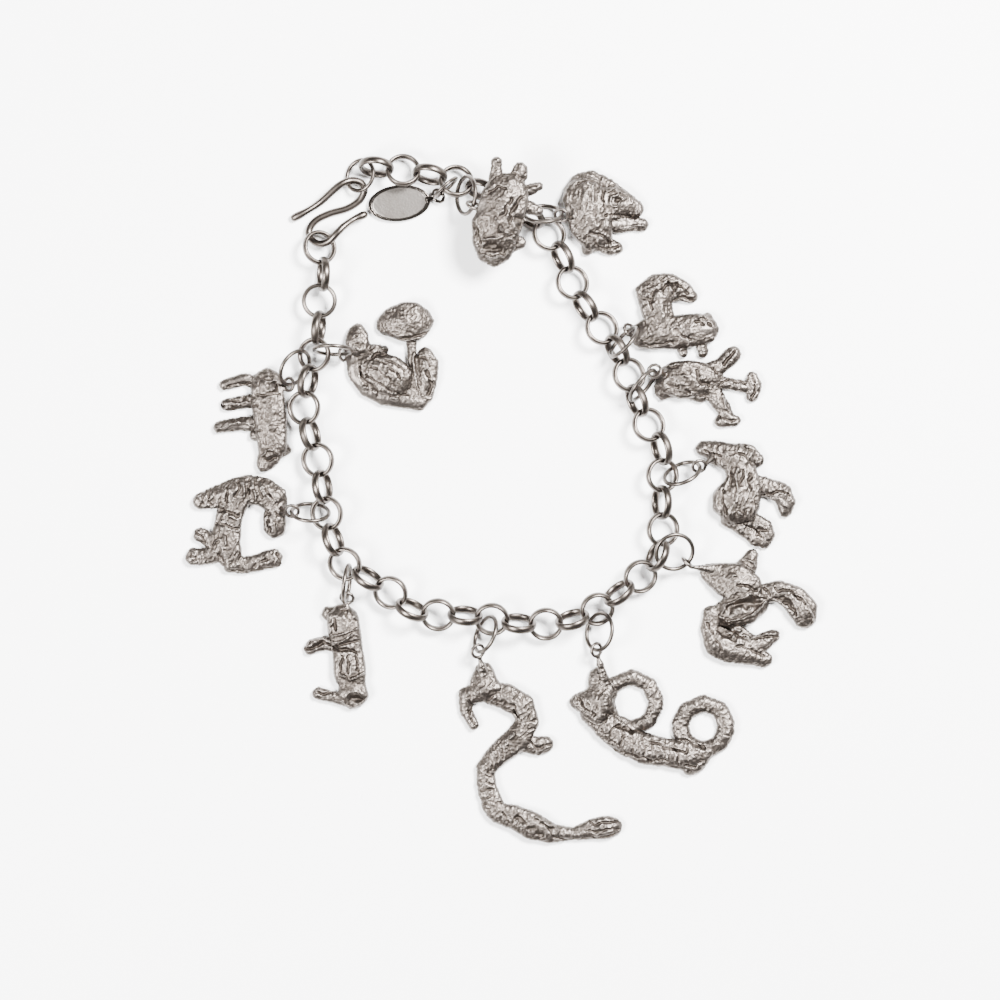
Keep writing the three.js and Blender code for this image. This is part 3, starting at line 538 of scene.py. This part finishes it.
def finishMesh(mesh, name, points, shadeName, shade):  # points from mm, and the finish's value on each
    mesh.vertices.foreach_set("co", (points * mm).ravel())
    stored = mesh.attributes.new(shadeName, "FLOAT", "POINT")
    stored.data.foreach_set("value", shade.astype(np.float32))
    mesh.update()
    mesh.name = name


def neighbourMean(values, edges, counts):
    total = np.zeros_like(values)
    for k in range(values.shape[1]):
        total[:, k] = np.bincount(edges[:, 0], values[edges[:, 1], k], len(values)) \
            + np.bincount(edges[:, 1], values[edges[:, 0], k], len(values))
    return total / counts[:, None]


def distanceTo(points, line):  # in plan, to a line through places
    line = np.array(line, float)
    if len(line) == 1:
        return np.linalg.norm(points[:, :2] - line[0], axis=1)
    best = np.full(len(points), np.inf)
    for a, b in zip(line[:-1], line[1:]):
        span = b - a
        t = np.clip(((points[:, :2] - a) @ span) / (span @ span), 0, 1)
        best = np.minimum(best, np.linalg.norm(points[:, :2] - (a + t[:, None] * span), axis=1))
    return best


def nearness(points, mark):  # 1 on a mark's line, fading to 0 at its edge
    line = [tuple(fromPhoto(x, y)[:2]) for x, y in mark["line"]]
    near = np.clip(1 - distanceTo(points, line) / (mark["wide"] * photo["pixel"]), 0, 1)
    return near * near * (3 - 2 * near)


def cut(wide, deep, *line):  # a raised or, where negative, a sunk line: pixels wide, mm deep
    return {"line": line, "wide": wide, "deep": deep}


def rays(x, y, inner, outer, start, end, count, wide, deep):  # lines that run out from a centre
    made = []
    for turn in np.radians(np.linspace(start, end, count)):
        ends = [(x + r * math.cos(turn), y - r * math.sin(turn)) for r in (inner, outer)]
        made.append(cut(wide, deep, *ends))
    return made


def rungs(line, half, count, wide, deep, lean):  # short lines across a longer one
    made = []
    spots = np.array(line, float)
    reach = np.concatenate([[0], np.cumsum(np.linalg.norm(np.diff(spots, axis=0), axis=1))])
    for place in np.linspace(0.03, 0.97, count) * reach[-1]:  # clear of the longer line's ends
        i = min(int(np.searchsorted(reach, place, "right")) - 1, len(spots) - 2)
        ahead = (spots[i + 1] - spots[i]) / (reach[i + 1] - reach[i])
        spot = spots[i] + ahead * (place - reach[i])
        side = np.array([-ahead[1], ahead[0]]) + ahead * lean
        made.append(cut(wide, deep, tuple(spot - side * half), tuple(spot + side * half)))
    return made


def meshArrays(mesh):
    count = len(mesh.vertices)
    points, normals = np.empty(count * 3), np.empty(count * 3)
    mesh.vertices.foreach_get("co", points)
    mesh.vertices.foreach_get("normal", normals)
    edges = np.empty(len(mesh.edges) * 2, int)
    mesh.edges.foreach_get("vertices", edges)
    edges = edges.reshape(-1, 2)
    counts = np.maximum(np.bincount(edges.ravel(), minlength=count), 1).astype(float)
    return points.reshape(-1, 3), normals.reshape(-1, 3), edges, counts


def ridges(values):  # a sharp crest where the values pass through 0
    return 1 - 2 * np.abs(values)


def furPlaces(points, degrees):  # drawn out along the hair
    turn = math.radians(degrees)
    return np.stack([
        points[:, 0] * math.cos(turn) + points[:, 1] * math.sin(turn),
        points[:, 1] * math.cos(turn) - points[:, 0] * math.sin(turn),
        points[:, 2],
    ], axis=1) * casting["furScale"]


def skinHeight(points, look, away, first, second):  # how far the skin stands out, in mm
    raised = casting["lump"] * first.at(points, casting["lumpScale"])
    raised += casting["grain"] * ridges(second.at(points, casting["grainScale"]))
    raised += casting["pit"] * first.at(points, casting["pitScale"])
    fur = casting["furShare"] * look.get("fur", casting["fur"])
    raised += fur * ridges(second.at(furPlaces(points, look["furTurn"]), 1.0))
    bare = np.clip((away - casting["skinFrom"]) / casting["skinOver"], casting["skinLeast"], 1)
    for patch in look.get("calm", []):
        bare *= 1 - casting["calmShare"] * nearness(points, patch)
    swell = look.get("swell", casting["swell"]) * np.clip(away - casting["swellFrom"], 0, 1)
    return bare * look.get("rough", 1.0) * raised + swell, bare


def markHeight(points, marks, first, second):  # the marks run unevenly, as if pressed in wax
    waver = np.stack([second.at(points, casting["waverScale"]), first.at(points, casting["waverScale"]),
                      np.zeros(len(points))], axis=1)
    move = np.zeros(len(points))
    for mark in marks:
        move += mark["deep"] * nearness(points + casting["waver"] * waver, mark)
    spread = casting["markSpread"] * first.at(points, casting["markScale"])
    return move * (casting["markShare"] * (1 + spread))


def castPiece(name, node, look, seed):
    mesh = meltedMesh(node, casting["voxel"])
    points, normals, edges, counts = meshArrays(mesh)
    away = np.linalg.norm(points[:, :2] - np.array(fromPhoto(*look["bail"])[:2]), axis=1)

    share = np.clip((away - casting["roundFrom"]) / casting["roundOver"], 0, 1)
    share = (casting["roundShare"] * share)[:, None]
    for _ in range(look.get("rounding", casting["rounding"])):
        points = points * (1 - share) + neighbourMean(points, edges, counts) * share

    first, second = Lattice(seed), Lattice(seed + casting["secondSeed"])
    upward = np.clip(normals[:, 2] * casting["upwardGain"], 0, 1)
    raised, bare = skinHeight(points, look, away, first, second)
    move = markHeight(points, look["marks"], first, second) * upward
    moved = points + normals * raised[:, None]
    moved[:, 2] = np.maximum(moved[:, 2] + move, 0.0)

    soft = moved.copy()
    for _ in range(casting["reliefRounds"]):
        mean = neighbourMean(soft, edges, counts)
        soft = soft * (1 - casting["reliefShare"]) + mean * casting["reliefShare"]
    depth = ((soft - moved) * normals).sum(axis=1)
    low = np.clip(-move / casting["cutDepth"], 0, 1) * casting["cutHollow"]
    hollow = np.clip((casting["plainHollow"] + depth / casting["relief"]) * bare + low, 0, 1)

    finishMesh(mesh, name, moved, "hollow", hollow)
    newPiece(name, mesh, silverCast, [node])
    print(name, "triangles", 2 * len(mesh.polygons))


# Each charm's look. Places and widths are in the photo's pixels, and a calm patch has little grain

bull = {
    "bail": (473, 207), "furTurn": 60, "marks": [
        cut(5, -0.5, (487, 250), (494, 248), (502, 252)),
        cut(2.5, 0.3, (484, 256), (492, 260), (503, 257)), cut(3, 0.4, (500, 230), (508, 238)),
        cut(2.5, 0.3, (497, 221), (500, 232)), cut(2.5, -0.3, (512, 200), (506, 213), (500, 222)),
        cut(2.5, -0.35, (521, 200), (513, 212), (508, 226)),
        cut(2.5, 0.25, (486, 242), (500, 240), (516, 244)),
        cut(2, -0.35, (476, 224), (477, 236), (480, 244)), cut(8, -0.55, (519, 222), (524, 230)),
        cut(2, -0.3, (490, 196), (498, 190), (506, 192)), cut(2.5, -0.3, (514, 176), (523, 180)),
        cut(2, -0.3, (524, 191), (536, 189)),
    ],
}
ram = {
    "bail": (561, 216), "furTurn": 86, "fur": 0.14,
    "calm": [cut(9, 0, (606, 200), (622, 203)), cut(4, 0, (606, 222), (644, 225))],
    "marks": [
        cut(2.2, -0.4, (604, 216), (628, 216), (644, 218)), cut(2, 0.25, (622, 226), (643, 225)),
        cut(2, -0.3, (596, 246), (607, 249), (617, 247)),
        cut(2, -0.35, (604, 193), (601, 201), (604, 209)),
        cut(2, 0.25, (606, 192), (616, 190), (624, 196)), cut(3, -0.4, (616, 201), (619, 202)),
        cut(1.8, 0.3, (611, 198), (618, 196), (624, 201), (618, 206), (611, 204), (611, 198)),
        cut(2, -0.35, (578, 184), (590, 182), (600, 186)),
        cut(1.8, -0.3, (590, 232), (600, 236), (609, 242)),
    ],
}
fox = {
    "bail": (629, 330), "furTurn": 24, "fur": 0.11, "calm": [cut(7, 0, (704, 330), (712, 332))],
    "marks": [
        cut(2.2, -0.4, (672, 299), (684, 296), (695, 299)), cut(2.5, -0.3, (650, 300), (652, 310)),
        cut(2, -0.35, (694, 322), (702, 325)), cut(2.5, -0.4, (707, 324), (709, 326)),
        cut(2, 0.25, (695, 318), (704, 316), (712, 320)),
        cut(2, -0.3, (640, 344), (656, 345), (672, 343)),
        cut(2, -0.3, (676, 330), (682, 337), (690, 340)), cut(2, -0.3, (668, 284), (674, 290)),
        cut(2, -0.3, (652, 304), (655, 292), (664, 286), (676, 286), (686, 292)),
    ] + rays(664, 303, 12, 22, 30, 170, 7, 1.6, -0.18),
}
frog = {
    "bail": (654, 371), "furTurn": -20, "fur": 0.08, "marks": [
        cut(2.2, -0.35, (722, 364), (734, 353)), cut(1.6, -0.3, (718, 384), (730, 381), (744, 385)),
        cut(2, -0.3, (751, 376), (754, 388), (751, 399)), cut(2.5, 0.3, (722, 396), (726, 409)),
        cut(2.5, 0.35, (691, 393), (703, 399)), cut(1.8, -0.35, (684, 391), (700, 396)),
        cut(4, 0.3, (684, 377), (686, 378)), cut(3, -0.35, (696, 372), (700, 382), (708, 385)),
        cut(2.5, -0.3, (660, 365), (668, 368), (676, 366)), cut(2.5, -0.3, (668, 384), (678, 388)),
        cut(1.8, -0.3, (720, 417), (728, 419), (738, 420)), cut(2, -0.3, (708, 366), (714, 372)),
    ],
}
monkey = {
    "bail": (699, 466), "furTurn": 75, "fur": 0.12,
    "calm": [cut(9, 0, (774, 499), (787, 506))],
    "marks": [
        cut(2.2, 0.35, (737, 468), (736, 482), (738, 493)), cut(2, -0.4, (732, 467), (731, 486)),
        cut(2, -0.4, (741, 470), (742, 487)), cut(2, -0.3, (749, 474), (750, 490)),
        cut(3.5, 0.4, (738, 513), (739, 514)), cut(3.5, 0.4, (746, 512), (747, 514)),
        cut(2.5, 0.35, (756, 501), (757, 502)), cut(2, 0.3, (771, 498), (780, 501), (788, 507)),
        cut(2, -0.4, (764, 494), (775, 491), (789, 495)),
        cut(1.8, -0.3, (742, 447), (752, 451), (759, 459)),
        cut(1.8, -0.3, (735, 453), (746, 457), (752, 465)),
        cut(2, -0.3, (703, 450), (714, 452), (722, 458)),
        cut(2, -0.35, (724, 492), (722, 502), (726, 512)), cut(2, -0.35, (758, 527), (766, 531)),
        cut(1.8, -0.3, (745, 525), (756, 530), (764, 538)),
        cut(1.8, 0.25, (716, 490), (715, 502), (720, 512)),
    ],
}
rooster = {
    "bail": (687, 563), "furTurn": 35, "fur": 0.05,
    "calm": [
        cut(10, 0, (730, 608), (746, 603), (760, 600)), cut(4, 0, (720, 617), (735, 629), (751, 640)),
    ],
    "marks": [
        cut(2, 0.4, (719, 617), (726, 606), (738, 598), (750, 594), (763, 597)),
        cut(8, -0.55, (731, 608), (745, 604), (757, 601)),
        cut(2.2, 0.4, (728, 622), (742, 618), (756, 611), (766, 602)),
        cut(2.4, 0.45, (721, 618), (734, 628), (751, 640)), cut(7, -0.7, (722, 630), (733, 636)),
        cut(1.8, -0.35, (775, 588), (790, 592), (803, 605)),
        cut(1.8, -0.35, (776, 597), (789, 604), (797, 616)),
        cut(2, 0.3, (794, 594), (808, 607), (812, 621)), cut(4.5, -0.45, (784, 598), (791, 605)),
        cut(2.5, 0.35, (748, 568), (756, 572)), cut(2, 0.3, (742, 557), (752, 563)),
        cut(3, 0.3, (734, 575), (736, 576)), cut(2, -0.35, (708, 622), (712, 636), (722, 648)),
        cut(2, -0.3, (738, 646), (752, 650), (764, 656)),
        cut(2, -0.35, (736, 584), (748, 587), (756, 590)), cut(2, -0.35, (764, 588), (770, 594)),
        cut(2, -0.3, (756, 640), (768, 637), (776, 636)),
    ],
}
snake = {
    "bail": (597, 649), "furTurn": -25, "fur": 0.05, "rounding": 46, "swell": 0.38, "rough": 1.15,
    "marks": [
        cut(2.8, -0.6, (616, 726), (632, 732), (650, 729), (660, 722)),
        cut(2, -0.35, (578, 700), (584, 706), (594, 714)),
        cut(2.4, -0.35, (604, 741), (622, 751), (645, 757), (668, 759)),
        cut(2, -0.35, (650, 742), (664, 746), (684, 752)),
        cut(2.5, -0.4, (676, 736), (690, 744), (704, 748)), cut(2, -0.35, (686, 762), (694, 765)),
    ] + rungs([(602, 720), (624, 738), (650, 748), (690, 756)], 9, 9, 1.6, -0.16, 0.5),
}
lizard = {
    "bail": (478, 651), "furTurn": 40, "fur": 0.05, "rounding": 22, "swell": 0.26, "marks": [
        cut(2, 0.35, (488, 704), (492, 699), (495, 696)),
        cut(2, -0.4, (500, 700), (514, 706), (520, 716)),
        cut(2, -0.35, (470, 700), (468, 712), (474, 724)), cut(2.5, 0.35, (508, 741), (516, 733)),
        cut(4, -0.4, (516, 818), (528, 826), (540, 834)),
        cut(2, -0.35, (545, 824), (554, 836), (566, 838)),
        cut(1.5, -0.3, (590, 824), (604, 822), (618, 822)),
        cut(1.5, -0.3, (588, 830), (604, 829), (617, 829)),
        cut(1.5, -0.3, (592, 836), (606, 835), (613, 833)),
        cut(2, 0.3, (536, 816), (548, 824), (558, 831)),
        cut(2, -0.35, (528, 741), (540, 749), (549, 744)), cut(2, -0.3, (504, 812), (510, 820)),
    ] + rungs([(508, 688), (526, 700), (535, 716), (532, 730)], 6, 7, 1.6, -0.16, 0.3)
    + rungs([(512, 746), (495, 757), (484, 772), (486, 790), (494, 806)], 7, 10, 1.6, -0.14, -0.5),
}
bear = {
    "bail": (348, 598), "furTurn": 85, "fur": 0.07, "rough": 0.8, "marks": [
        cut(1.6, 0.3, (333, 641), (345, 639), (357, 634)),
        cut(1.6, 0.25, (334, 635), (345, 633), (356, 628)),
        cut(1.8, -0.35, (333, 645), (347, 643), (357, 639)),
        cut(2.2, 0.5, (342, 673), (349, 680), (356, 676), (364, 671)),
        cut(2.2, -0.5, (306, 648), (324, 643), (340, 648), (357, 653)),
        cut(1.8, -0.35, (342, 655), (342, 670)), cut(1.8, -0.35, (349, 656), (349, 672)),
        cut(1.8, -0.3, (356, 656), (357, 670)), cut(5.5, -0.65, (353, 697), (358, 698)),
        cut(2, 0.25, (342, 701), (350, 706), (361, 703)), cut(2.8, 0.35, (353, 611), (356, 618)),
        cut(2, -0.3, (335, 618), (337, 628)), cut(2, -0.3, (344, 610), (349, 620)),
        cut(2, 0.25, (332, 622), (333, 632)), cut(1.8, -0.3, (318, 692), (330, 695)),
        cut(2, 0.25, (308, 644), (322, 640), (334, 641)),
    ],
}
horse = {
    "bail": (293, 511), "furTurn": 65, "fur": 0.11, "marks": [
        cut(2, -0.35, (241, 483), (236, 496)), cut(2, -0.35, (249, 481), (250, 497)),
        cut(2, -0.35, (257, 483), (263, 497)), cut(2, -0.35, (266, 488), (274, 500)),
        cut(2, -0.35, (230, 487), (227, 500)), cut(2.2, 0.4, (245, 484), (243, 496)),
        cut(2.2, 0.4, (253, 483), (256, 497)), cut(2, -0.3, (208, 494), (212, 505)),
        cut(2.5, 0.35, (201, 497), (204, 501)), cut(2, -0.35, (268, 514), (287, 515)),
        cut(3, 0.4, (275, 526), (277, 528)), cut(2, -0.35, (268, 521), (270, 532)),
        cut(2, -0.3, (222, 510), (238, 514)), cut(2.5, 0.35, (231, 516), (235, 518)),
        cut(2, -0.3, (218, 524), (236, 528)), cut(2, 0.35, (214, 545), (220, 541)),
        cut(2, -0.35, (198, 533), (206, 542)), cut(2, -0.3, (190, 554), (200, 560)),
        cut(2.5, -0.45, (233, 568), (244, 569)), cut(2, -0.3, (256, 564), (268, 560)),
        cut(2, -0.3, (276, 552), (280, 564)), cut(2, -0.3, (220, 548), (224, 558)),
        cut(2, 0.3, (224, 535), (226, 545)),
    ],
}
goat = {
    "bail": (289, 385), "furTurn": 80, "fur": 0.06,
    "calm": [cut(5, 0, (220, 386), (252, 380)), cut(5, 0, (216, 428), (256, 424))],
    "marks": [
        cut(2, 0.35, (219, 428), (240, 423), (258, 426)),
        cut(1.8, -0.35, (262, 431), (240, 431), (222, 432)),
        cut(1.6, -0.35, (228, 387), (244, 383), (257, 385)),
        cut(2.2, -0.65, (223, 405), (224, 406)), cut(1.6, -0.3, (232, 402), (244, 401), (256, 399)),
        cut(1.6, -0.3, (232, 407), (246, 407), (258, 406)), cut(3, 0.35, (272, 388), (273, 389)),
        cut(1.6, -0.35, (268, 384), (276, 384), (277, 392), (268, 393)),
        cut(2, 0.4, (263, 457), (269, 450), (279, 452)), cut(3, -0.4, (267, 460), (276, 458)),
        cut(2, -0.3, (258, 395), (268, 396), (280, 394)), cut(2, -0.3, (288, 449), (294, 452)),
        cut(2, 0.3, (256, 376), (268, 372)), cut(1.8, -0.3, (262, 378), (272, 380)),
    ],
}
bird = {
    "bail": (343, 355), "furTurn": -55, "fur": 0.06,
    "calm": [cut(6, 0, (352, 368), (359, 387), (378, 399), (410, 405), (428, 405))],
    "marks": [
        cut(4.5, 0.3, (358, 337), (358.5, 337)), cut(1.9, -0.6, (358, 337), (359, 337)),
        cut(4, -0.7, (373, 357), (386, 354)), cut(2, 0.35, (369, 350), (379, 347), (388, 348)),
        cut(1.6, -0.3, (377, 361), (389, 365), (400, 378)),
        cut(1.6, -0.3, (372, 367), (384, 373), (394, 386)),
        cut(1.6, -0.3, (367, 374), (377, 382), (390, 391)),
        cut(1.6, -0.3, (386, 361), (396, 365), (404, 372)), cut(3.5, 0.35, (365, 386), (367, 387)),
        cut(3.5, 0.4, (374, 391), (377, 392)), cut(3, 0.35, (402, 382), (402, 386)),
        cut(3, 0.35, (392, 398), (398, 398)), cut(1.8, 0.3, (414, 346), (413, 368), (417, 388)),
        cut(4, -0.45, (428, 372), (431, 384), (429, 395)),
        cut(2, -0.45, (384, 333), (398, 339), (412, 338), (430, 330)),
        cut(1.8, -0.45, (362, 366), (360, 378), (368, 384)), cut(2, -0.3, (352, 344), (362, 346)),
        cut(1.8, -0.3, (422, 356), (430, 364)), cut(1.8, -0.35, (394, 392), (408, 396)),
    ],
}

looks = {
    "bull": bull, "ram": ram, "fox": fox, "frog": frog, "monkey": monkey, "rooster": rooster,
    "snake": snake, "lizard": lizard, "bear": bear, "horse": horse, "goat": goat, "bird": bird,
}
for seed, (animal, look) in enumerate(looks.items()):
    castPiece(animal + "_cast", "charm_" + animal, look, seed)


# Tag: an oval plate with a raised rim, melted onto its loop

tag = {
    "middle": (-15.1, 44.5), "length": 9.4, "width": 5.5, "turn": 6, "plate": 0.6,
    "rim": 0.9, "rimWidth": 0.55, "round": 0.12, "edge": 0.15, "slope": 0.06, "fade": 0.06,
    "sides": 96, "voxel": 0.09,
}
tagTurn = Matrix.Rotation(math.radians(tag["turn"]), 3, "Z")


def tagPlate():
    half, inside = tag["length"] / 2, tag["length"] / 2 - tag["rimWidth"]
    squash = tag["width"] / tag["length"]
    profile = [
        (half - tag["round"], 0), (half, tag["edge"]), (half, tag["rim"] - tag["edge"]),
        (half - tag["round"], tag["rim"]), (inside + tag["round"], tag["rim"]),
        (inside, tag["rim"] - tag["round"]), (inside - tag["slope"], tag["plate"]),
    ]
    points = []
    for radius, height in profile:
        for k in range(tag["sides"]):
            angle = 2 * math.pi * k / tag["sides"]
            place = Vector((radius * math.cos(angle), radius * math.sin(angle) * squash, height))
            points.append(tagTurn @ place + inFrame(*tag["middle"]))
    return points, tubeFaces(len(profile), tag["sides"])


def makeTag():
    mesh = meltedMesh("tag", tag["voxel"], *tagPlate())
    points = meshArrays(mesh)[0]
    flat = (points - np.array(inFrame(*tag["middle"]))) @ np.array(tagTurn)
    out = np.hypot(flat[:, 0] / (tag["length"] / 2), flat[:, 1] / (tag["width"] / 2))
    edge = 1 - 2 * tag["rimWidth"] / tag["length"]
    rim = np.clip((out - edge + tag["fade"] / 2) / tag["fade"], 0, 1)
    finishMesh(mesh, "tag_plate", points, "rim", rim)
    newPiece("tag_plate", mesh, silverSatin, ["tag"])


makeTag()
print("tag")


# Floor, light and camera, in metres

studio = {
    "floor": (0.95, 0.947, 0.945, 1), "floorSize": 1.6, "floorRough": 0.9, "floorDrop": 0.00001,
    "world": (0.52, 0.50, 0.49, 1), "worldStrength": 0.32,
    "keyPlace": (0.2, 0.17, 0.4), "keySize": 0.16, "keyPower": 17.0,
    "fillPlace": (-0.3, -0.12, 0.4), "fillSize": 0.22, "fillPower": 11.0,
    "cameraHeight": 0.9, "viewWidth": 0.15, "sensor": 36, "clipStart": 0.01,
}


def makeFloor():
    half = studio["floorSize"] / 2
    corners = [(-half, -half, 0), (half, -half, 0), (half, half, 0), (-half, half, 0)]
    mesh = meshFrom("floor", corners, [(0, 1, 2, 3)])
    material, shader, _ = newMaterial("floor_white")
    shader.inputs["Base Color"].default_value = studio["floor"]
    shader.inputs["Roughness"].default_value = studio["floorRough"]
    mesh.materials.append(material)
    floor = bpy.data.objects.new("floor", mesh)
    floor.location.z = -studio["floorDrop"]
    bpy.context.scene.collection.objects.link(floor)


def makeLights():
    world = bpy.data.worlds.new("studio")
    bpy.context.scene.world = world
    world.use_nodes = True
    back = world.node_tree.nodes["Background"]
    back.inputs["Color"].default_value = studio["world"]
    back.inputs["Strength"].default_value = studio["worldStrength"]
    for name in ("key", "fill"):
        place = Vector(studio[name + "Place"])
        data = bpy.data.lights.new(name, "AREA")
        data.shape = "DISK"
        data.size = studio[name + "Size"]
        data.energy = studio[name + "Power"]
        lamp = bpy.data.objects.new(name, data)
        lamp.location = place
        lamp.rotation_euler = (-place).to_track_quat("-Z", "Y").to_euler()
        bpy.context.scene.collection.objects.link(lamp)


def makeCamera():  # straight above the photo's middle
    lens = bpy.data.cameras.new("camera")
    lens.sensor_width = studio["sensor"]
    lens.sensor_fit = "HORIZONTAL"
    lens.lens = studio["sensor"] * studio["cameraHeight"] / studio["viewWidth"]
    lens.clip_start = studio["clipStart"]
    camera = bpy.data.objects.new("camera", lens)
    centre = fromPhoto(photo["middle"], photo["middle"]) * mm
    camera.location = (centre.x, centre.y, studio["cameraHeight"])
    bpy.context.scene.collection.objects.link(camera)
    bpy.context.scene.camera = camera


makeFloor()
makeLights()
makeCamera()
print("studio")
